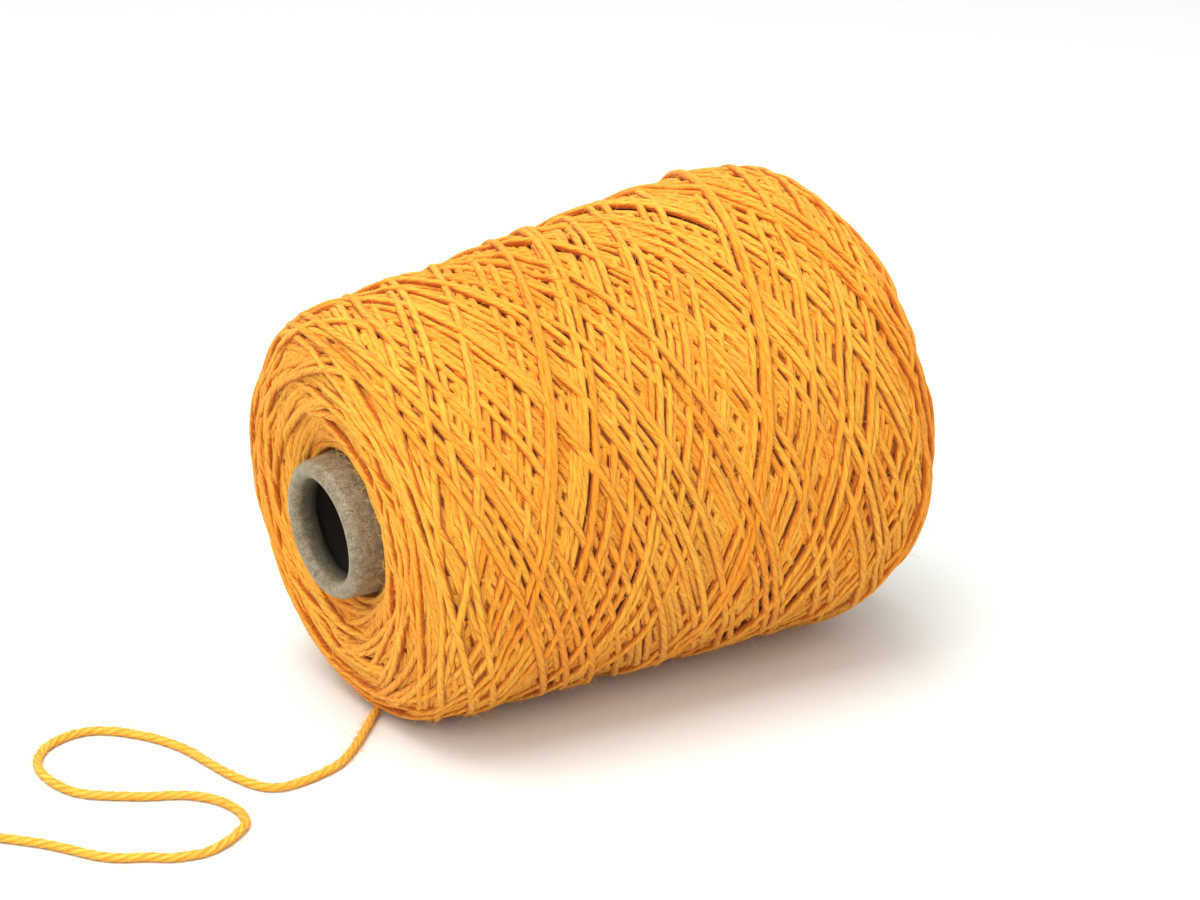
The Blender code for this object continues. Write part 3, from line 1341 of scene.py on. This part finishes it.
@dataclass(frozen=True)
class Fuzz:
    """Fine bent fibres that stand off a yarn.

    Args:
        count: How many there are.
        radius: Their radius.
        longest: The length of the longest.
        fineness: How finely they are meshed.
        seed: The seed of their places and bends.
    """

    count: int = 26000
    radius: float = 0.00004
    longest: float = 0.0028
    fineness: ThreadMesh = ThreadMesh(sides=3, step=0.001, groove=0.0)
    seed: int = 3

    def fibres(self, table: Array, yarn_radius: float) -> list[Array]:
        """Scatter the fibres over a yarn.

        Args:
            table: The points and values of the yarn's stretches.
            yarn_radius: The yarn's radius.

        Returns:
            The points and values of each fibre.
        """
        chance = np.random.default_rng(self.seed)
        start = chance.integers(0, len(table) - 1, self.count)
        middle, out = table[start, :3], table[start, 6:9]
        along = table[start + 1, :3] - middle
        along /= np.linalg.norm(along, axis=1)[:, None] + 1e-9
        side = np.cross(along, out)
        turn = chance.normal(0.0, 0.9, self.count)[:, None]
        away = out * np.cos(turn) + side * np.sin(turn)
        length = self.longest * chance.uniform(0.3, 1.0, self.count)[:, None]
        rise = chance.uniform(0.25, 0.85, self.count)[:, None]
        run = chance.normal(0.0, 0.7, self.count)[:, None]
        curl = chance.normal(0.0, 0.45, (self.count, 3))
        droop, rooted, thinning = 0.25, 0.85, (1.0, 0.9, 0.5)
        stretches = []
        for share in (0.0, 0.5, 1.0):
            swing = away * rise * share + along * run * share + curl * share**2 - out * droop * share**2
            stretches.append(middle + away * yarn_radius * rooted + swing * length)
        places = np.stack(stretches, axis=1)
        places[:, :, 2] = np.maximum(places[:, :, 2], 2 * self.radius)
        values = np.column_stack([thinning, np.zeros((3, 4)), np.ones(3)])
        return [np.column_stack([points, values]) for points in places]


@dataclass
class WoundPackage:
    """The wound yarn: its showing turns, the bed under them and the loose fibres.

    Args:
        form: The package's form.
        stock: The yarn.
        fineness: How finely the turns are meshed.
        pieces: Into how many meshes the turns are shared out.
        bed_depth: How deep the bed lies under the surface.
        margin: How many mesh steps a turn goes on after it dips out of sight.
        sink: How far the turns' mean height lies under the package's outline.
        soft: How softly the turns underneath are pressed level with the floor.
        seed: The seed of the groups' tones and the yarn's unevenness.
        fuzz: The loose fibres that stand off the package.
        fuzz_pieces: Into how many meshes they are shared out.
    """

    form: PackageForm
    stock: YarnStock
    fineness: ThreadMesh = ThreadMesh(sides=8, step=0.0024, groove=0.06)
    pieces: int = 5
    bed_depth: float = 0.0023
    margin: int = 1
    sink: float = 0.0006
    soft: float = 0.0006
    seed: int = 5
    fuzz: Fuzz = Fuzz()
    fuzz_pieces: int = 2

    def build(self) -> None:
        """Build and dress every piece."""
        winding = CrossWinding(self.form, self.stock)
        runs = self._runs(winding.lay(), round(self.fineness.step / winding.step))
        tree = ThreadTree(self.stock).build()
        finish = YarnFinish().material(self.stock)
        for number, share in enumerate(self._share_out(runs), 1):
            strands = Strands(self.stock.radius, self.fineness, share)
            turns = strands.mesh_object(f"wound_turns_{number}", tree, finish)
            keep_piece(turns, Slot.YARN)
            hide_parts("wound_yarn")
        self._build_fibres(np.vstack(runs), tree)
        self._build_bed()

    def _runs(self, laid: Winding, every: int) -> list[Array]:
        """Cut the yarn into the stretches that show.

        Args:
            laid: The laid yarn.
            every: How many small steps make one mesh step.

        Returns:
            The points and values of each stretch.
        """
        count = len(laid.rows) // every
        seen = laid.shows[: count * every].reshape(count, every).any(axis=1).astype(int)
        seen = np.convolve(seen, np.ones(2 * self.margin + 1), mode="same") > 0
        kept = slice(0, count * every, every)
        path, height, group = laid.rows[kept], laid.over[kept], laid.group[kept]
        points = self.form.lift(path[:, 0], path[:, 1], height - self.sink)
        out = (self.form.lift(path[:, 0], path[:, 1], height) - points) / self.sink
        run = np.arange(count) * self.fineness.step
        table = np.column_stack([self._rest_on_floor(points), *self._unevenness(run, group), run, out])
        edges = np.flatnonzero(np.diff(np.concatenate([[0], seen.astype(int), [0]])))
        shortest = 3
        return [table[a:b] for a, b in zip(edges[::2], edges[1::2]) if b - a >= shortest]

    def _unevenness(self, run: Array, group: Array) -> tuple[Array, Array]:
        """How the yarn's thickness and tone vary.

        Args:
            run: The length of yarn so far at each mesh step.
            group: The group of neighbours that each step belongs to.

        Returns:
            The thickness as a share, and the tone from 0 to 1.
        """
        usual, swell, quick, slow, rough = 0.90, 0.05, 210.0, 37.0, 0.012
        between, within, dye_wave = 0.55, 0.3, 9.0
        chance = np.random.default_rng(self.seed)
        tones = chance.random(int(group.max()) + 1)
        thick = usual + swell * np.sin(run * quick) * np.sin(run * slow) + chance.normal(0, rough, len(run))
        return thick, np.clip(tones[group] * between + within * np.sin(run * dye_wave) ** 2, 0, 1)

    def _build_fibres(self, table: Array, tree: bpy.types.NodeTree) -> None:
        """Build the fine loose fibres that stand off the showing turns.

        Args:
            table: The points and values of the stretches that show.
            tree: The threads' node tree.
        """
        finish = FuzzFinish().material()
        hairs = self.fuzz.fibres(table, self.stock.radius)
        for number in range(1, self.fuzz_pieces + 1):
            fibres = Strands(self.fuzz.radius, self.fuzz.fineness, hairs[number - 1 :: self.fuzz_pieces])
            piece = fibres.mesh_object(f"loose_fibres_{number}", tree, finish)
            keep_piece(piece, Slot.YARN)
            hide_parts("wound_yarn")

    def _rest_on_floor(self, points: Array) -> Array:
        """Press the turns underneath flat on the floor.

        Args:
            points: The points of the yarn's middle line.

        Returns:
            The same points, none nearer to the floor than the yarn's radius.
        """
        low, clear = self.stock.radius, 20
        rise = (points[:, 2] - low) / self.soft
        eased = np.log1p(np.exp(np.minimum(rise, clear)))
        points[:, 2] = low + self.soft * np.where(rise > clear, rise, eased)
        return points

    def _share_out(self, runs: list[Array]) -> list[list[Array]]:
        """Share the stretches out over the pieces.

        Args:
            runs: The stretches in order of laying.

        Returns:
            The stretches of each piece.
        """
        sizes = np.cumsum([len(run) for run in runs])
        bounds = np.searchsorted(sizes, np.linspace(0, sizes[-1], self.pieces + 1)[1:-1])
        cuts = [0, *bounds, len(runs)]
        return [runs[a:b] for a, b in zip(cuts, cuts[1:])]

    def _build_bed(self) -> None:
        """Build the closed bed of older turns under the showing ones."""
        steps, outer_rings, inner_rings = 128, 70, 14
        edge_depth, deepening = 0.0014, 0.3
        reach = np.linspace(0.0, self.form.reach, outer_rings)
        turn = np.linspace(0.0, 2 * math.pi, steps, endpoint=False)
        from_edge = np.minimum(reach, self.form.reach - reach)
        depth = np.minimum(self.bed_depth, from_edge * deepening + edge_depth)
        rings = [self.form.lift(np.full(steps, r), turn, np.full(steps, -d)) for r, d in zip(reach, depth)]
        points = np.vstack(rings)
        points[:, 2] = np.maximum(points[:, 2], self.stock.radius)
        bore = np.linspace(1.0, 0.0, inner_rings)[1:-1]
        narrow, wide = points[:steps], points[-steps:]
        inner = [narrow + (wide - narrow) * share for share in bore]
        piece = ring_object("deep_turns", np.vstack([points, *inner]), steps, BedFinish().material())
        keep_piece(piece, Slot.YARN)
        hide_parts("wound_yarn")


def ring_object(name: str, points: Array, steps: int, material: bpy.types.Material) -> bpy.types.Object:
    """A closed object of rings of points, the last ring joined to the first.

    Args:
        name: The object's name.
        points: The points, ring after ring, each ring going round the same way.
        steps: How many points a ring has.
        material: Its material.

    Returns:
        The object, shaded smooth, with its faces pointing outwards.
    """
    rings = len(points) // steps
    ring, step = np.meshgrid(np.arange(rings), np.arange(steps), indexing="ij")
    after = (step + 1) % steps
    on = (ring + 1) % rings
    corners = [ring * steps + step, ring * steps + after, on * steps + after, on * steps + step]
    faces = np.stack(corners, axis=-1)
    mesh = bpy.data.meshes.new(name)
    mesh.from_pydata(points.tolist(), [], faces.reshape(-1, 4).tolist())
    if signed_volume(mesh) < 0:
        mesh.flip_normals()
    mesh.shade_smooth()
    mesh.materials.append(material)
    return link_object(name, mesh)


def signed_volume(mesh: bpy.types.Mesh) -> float:
    """The volume in a closed mesh.

    Args:
        mesh: The mesh.

    Returns:
        The volume, negative where its faces point inwards.
    """
    mesh.calc_loop_triangles()
    corners = np.empty(len(mesh.loop_triangles) * 3, dtype=np.int32)
    mesh.loop_triangles.foreach_get("vertices", corners)
    places = np.empty(len(mesh.vertices) * 3)
    mesh.vertices.foreach_get("co", places)
    sides = places.reshape(-1, 3)[corners.reshape(-1, 3)]
    return float(np.einsum("ij,ij->i", sides[:, 0], np.cross(sides[:, 1], sides[:, 2])).sum() / 6)


def keep_piece(piece: bpy.types.Object, slot: Slot) -> None:
    """Make a piece part of the object and report it.

    Args:
        piece: The finished piece.
        slot: The material slot that it belongs to. It is not used.
    """
    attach(piece, ROOT)
    piece.data.calc_loop_triangles()
    log.info("%s: %d triangles", piece.name, len(piece.data.loop_triangles))


# ------------------------------ The card tube -------------------------------


@dataclass
class CardTube:
    """The hollow card cone that the yarn is wound on.

    Args:
        form: The package's form, which says where the axis lies.
        sizes: The tube's sizes.
        steps: How many points go round it.
    """

    form: PackageForm
    sizes: TubeSizes
    steps: int = 128

    def build(self) -> None:
        """Build and dress the tube."""
        outline = evenly_spaced_closed(self._outline())
        turn = np.linspace(0.0, 2 * math.pi, self.steps, endpoint=False)
        dents, ripples, twisting = 0.00012, 0.00008, 40
        rings = []
        for along, radius in outline:
            uneven = dents * np.sin(3 * turn + 1.0) + ripples * np.sin(5 * turn + twisting * along)
            rings.append(self.form.place(np.full(self.steps, along), radius + uneven, turn))
        tube = ring_object("card_tube", np.vstack(rings), self.steps, CardFinish().material())
        # Painted shade deep in the bore, carried as the bore attribute.
        deep = np.repeat([self._bore_shade(along, radius) for along, radius in outline], self.steps)
        tube.data.attributes.new("bore", "FLOAT", "POINT").data.foreach_set("value", deep)
        tube.data.set_sharp_from_angle(angle=math.radians(45))
        keep_piece(tube, Slot.CARD)
        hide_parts("cone_tube")

    def _bore_shade(self, along: float, radius: float) -> float:
        """How much painted shade darkens a place of the wall, by how deep in the bore it lies.

        Args:
            along: The place along the axis.
            radius: Its radius.

        Returns:
            0 outside and on the lip, rising to 1 at about the lining's end.
        """
        inward = self.sizes.radius(along) - radius > self.sizes.wall * 0.9
        depth = (along - self.sizes.tip - self.sizes.lip_height * 0.4) / (self.sizes.lining_depth * 0.8)
        return float(np.clip(depth, 0.0, 1.0)) ** 0.8 if inward else 0.0

    def _outline(self) -> list[tuple[float, float]]:
        """The wall's closed outline.

        Returns:
            Places along the axis and radii: round the lip, to the base, and back inside to the lining.
        """
        sizes = self.sizes
        lining = sizes.nose_radius - 2 * sizes.wall
        middle = sizes.nose_radius - sizes.wall
        foot = sizes.tip + sizes.lip_height
        lip_points, edge, narrowing = 17, sizes.wall / 5, 0.00003
        points = []
        for turn in np.linspace(0.0, math.pi, lip_points):
            points.append((foot - sizes.lip_height * math.sin(turn), middle - sizes.wall * math.cos(turn)))
        base = sizes.base
        outer = sizes.radius(base)
        end = sizes.tip + sizes.lining_depth
        inner = sizes.radius(end) - sizes.wall
        points += [
            (base - edge, outer - narrowing),
            (base, outer - edge),
            (base, outer - sizes.wall + edge),
            (base - edge, outer - sizes.wall),
            (end + edge, inner),
            (end, inner - edge),
            (end, lining + edge),
            (end - edge, lining),
        ]
        return points


def evenly_spaced_closed(points: list[tuple[float, float]]) -> list[tuple[float, float]]:
    """Split the long sides of a closed outline into short ones.

    Args:
        points: The outline's corners in order.

    Returns:
        The corners with the new points between them.
    """
    longest = 0.0030
    split = []
    for here, there in zip(points, points[1:] + points[:1]):
        parts = max(1, math.ceil(math.dist(here, there) / longest))
        for part in range(parts):
            share = part / parts
            split.append((here[0] + (there[0] - here[0]) * share, here[1] + (there[1] - here[1]) * share))
    return split


# ------------------------------ The loose end -------------------------------


@dataclass
class LooseEnd:
    """The yarn's loose end, lying on the floor in the curves that it fell into.

    Args:
        form: The package's form, whose middle the route is measured from.
        stock: The yarn.
        fineness: How finely it is meshed.
        fuzz: The loose fibres that stand off it.
        finish: Its finish, paler than the package's, since no other turn shades it.
        route: X from the plane of the narrow end, and Y, of places along its middle.
    """

    form: PackageForm
    stock: YarnStock
    fineness: ThreadMesh = ThreadMesh(sides=18, step=0.0006, groove=0.16)
    fuzz: Fuzz = Fuzz(count=1800, longest=0.0022)
    # Less painted shade low on the sides, more painted shade between plies, and no painted crest highlight.
    finish: YarnFinish = YarnFinish(
        name="loose_end_yarn",
        crown=(1.0, 0.67, 0.10, 1.0),
        groove=(0.86, 0.30, 0.016, 1.0),
        shaded=0.2,
        plied=0.55,
        crest_highlight=0.0,
    )
    route: tuple[tuple[float, float], ...] = (
        (0.0088, -0.0036),
        (-0.0080, -0.0210),
        (-0.0180, -0.0275),
        (-0.0325, -0.0290),
        (-0.0385, -0.0185),
        (-0.0425, 0.0050),
        (-0.0500, 0.0195),
        (-0.0590, 0.0260),
        (-0.0700, 0.0230),
        (-0.0765, 0.0125),
        (-0.0745, -0.0035),
        (-0.0635, -0.0140),
        (-0.0520, -0.0210),
        (-0.0465, -0.0305),
        (-0.0475, -0.0415),
        (-0.0590, -0.0490),
        (-0.0680, -0.0480),
        (-0.0740, -0.0440),
        (-0.0820, -0.0385),
        (-0.0920, -0.0235),
        (-0.1065, -0.0085),
        (-0.1200, -0.0015),
        (-0.1380, 0.0005),
    )

    def build(self) -> None:
        """Build and dress the loose end."""
        knots = np.array([(x - self.form.middle_x, y, self.stock.radius) for x, y in self.route])
        line = smooth_curve(knots)
        points = evenly_spaced(line, self.fineness.step)
        run = np.arange(len(points)) * self.fineness.step
        swell, quick, slow = 0.05, 430.0, 91.0
        beads, bead_wave, tone = 0.03, 1300.0, 0.25
        thick = 1 + swell * np.sin(run * quick) * np.sin(run * slow) + beads * np.sin(run * bead_wave)
        up = np.tile([0.0, 0.0, 1.0], (len(points), 1))
        table = np.column_stack([points, thick, np.full(len(points), tone), run, up])
        strands = Strands(self.stock.radius, self.fineness, [table])
        tree = ThreadTree(self.stock).build()
        end = strands.mesh_object("loose_yarn_end", tree, self.finish.material(self.stock))
        keep_piece(end, Slot.YARN)
        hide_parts("loose_end")
        fuzz = Strands(self.fuzz.radius, self.fuzz.fineness, self.fuzz.fibres(table, self.stock.radius))
        hairs = fuzz.mesh_object("loose_end_fibres", tree, FuzzFinish("loose_end_fibres").material())
        keep_piece(hairs, Slot.YARN)
        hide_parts("loose_end")


# -------------------------------- The studio --------------------------------


@dataclass(frozen=True)
class SoftLight:
    """A soft square light that faces the object.

    Args:
        name: Its name.
        place: Where it stands.
        size: The length of its sides.
        power: Its power in watts.
        colour: Its colour.
    """

    name: str
    place: tuple[float, float, float]
    size: float
    power: float
    colour: tuple[float, float, float]

    def build(self, aim: Vector) -> None:
        """Build the light.

        Args:
            aim: The point that it faces.
        """
        light = bpy.data.lights.new(self.name, "AREA")
        light.shape = "SQUARE"
        light.size = self.size
        light.energy = self.power
        light.color = self.colour
        lamp = link_object(self.name, light)
        lamp.location = self.place
        lamp.rotation_euler = (aim - Vector(self.place)).to_track_quat("-Z", "Y").to_euler()


@dataclass
class Studio:
    """Floor, light and camera.

    Args:
        aim: The point that the camera looks at.
        azimuth: The camera's direction round the object, from straight in front towards -X.
        elevation: Its height above the horizon.
        roll: How far it leans.
        distance: Its distance from the aim.
        lens_mm: Its focal length for a 36 mm wide sensor.
        floor_half: Half the floor's width, and how far it reaches to the front.
        floor_far: How far behind the object it starts to sweep up.
        sweep_radius: The radius of the sweep.
        backdrop_top: How high the backdrop goes.
        sky: The strength of the white light from all round.
        lights: The soft lights, mostly from the upper left and behind.
    """

    aim: tuple[float, float, float] = (-0.00310, -0.00485, 0.05829)
    azimuth: float = math.radians(-33.22)
    elevation: float = math.radians(19.81)
    roll: float = math.radians(-0.27)
    distance: float = 0.75
    lens_mm: float = 86.48
    floor_half: float = 3.0
    floor_far: float = 2.2
    sweep_radius: float = 0.6
    backdrop_top: float = 1.6
    sky: float = 0.82
    lights: tuple[SoftLight, ...] = (
        SoftLight("window", place=(-0.30, 0.05, 1.35), size=1.1, power=19.0, colour=(1.0, 0.985, 0.96)),
        SoftLight("fill", place=(-1.0, -0.9, 0.95), size=1.3, power=9.5, colour=(1.0, 1.0, 1.0)),
    )

    def build(self) -> None:
        """Build the studio."""
        self._build_camera()
        self._build_floor()
        self._build_light()

    def _build_camera(self) -> None:
        """Place the camera at the photograph's viewing angle."""
        level = math.cos(self.elevation)
        across, away = math.sin(self.azimuth) * level, -math.cos(self.azimuth) * level
        back = Vector((across, away, math.sin(self.elevation)))
        right = Vector((0, 0, 1)).cross(back).normalized()
        up = back.cross(right)
        lens = bpy.data.cameras.new("camera")
        lens.lens = self.lens_mm
        lens.sensor_width = 36.0
        lens.clip_start = 0.01
        lens.clip_end = 50.0
        camera = link_object("camera", lens)
        turn = Matrix((right, up, back)).transposed().to_4x4() @ Matrix.Rotation(self.roll, 4, "Z")
        camera.matrix_world = Matrix.Translation(Vector(self.aim) + back * self.distance) @ turn
        bpy.context.scene.camera = camera

    def _build_floor(self) -> None:
        """Lay a pale floor that sweeps up into a backdrop far behind."""
        half, far, bend = self.floor_half, self.floor_far, self.sweep_radius
        turns = np.linspace(0.1, math.pi / 2, 10)
        sweep = [(-half, 0.0), (far, 0.0)]
        sweep += [(far + math.sin(turn) * bend, bend - math.cos(turn) * bend) for turn in turns]
        sweep += [(far + bend, self.backdrop_top)]
        back = Vector((-math.sin(self.azimuth), math.cos(self.azimuth), 0.0))
        side = Vector((back.y, -back.x, 0.0))
        points, faces = [], []
        for depth, height in sweep:
            for across in (-half, half):
                points.append(back * depth + side * across + Vector((0, 0, height)))
        for index in range(len(sweep) - 1):
            faces.append((2 * index, 2 * index + 1, 2 * index + 3, 2 * index + 2))
        mesh = bpy.data.meshes.new("floor")
        mesh.from_pydata(points, [], faces)
        mesh.shade_smooth()
        mesh.materials.append(FloorFinish().material())
        floor = link_object("floor", mesh)

    def _build_light(self) -> None:
        """Light the studio, and show colours as they are."""
        world = bpy.data.worlds.new("soft_light")
        world.use_nodes = True
        sky = world.node_tree.nodes["Background"]
        sky.inputs["Color"].default_value = (1.0, 1.0, 1.0, 1.0)
        sky.inputs["Strength"].default_value = self.sky
        bpy.context.scene.world = world
        for light in self.lights:
            light.build(Vector(self.aim))
        view = bpy.context.scene.view_settings
        view.view_transform = "Standard"
        view.look = "None"
        view.exposure = 0.0


def main() -> None:
    """Build the cone of yarn's looks and the studio."""
    logging.basicConfig(level=logging.INFO, format="%(message)s", stream=sys.stdout)
    tube = TubeSizes()
    form = PackageForm(tube)
    stock = YarnStock()
    Studio().build()
    LooseEnd(form, stock.relaxed()).build()
    CardTube(form, tube).build()
    WoundPackage(form, stock).build()


if __name__ == "__main__":
    main()
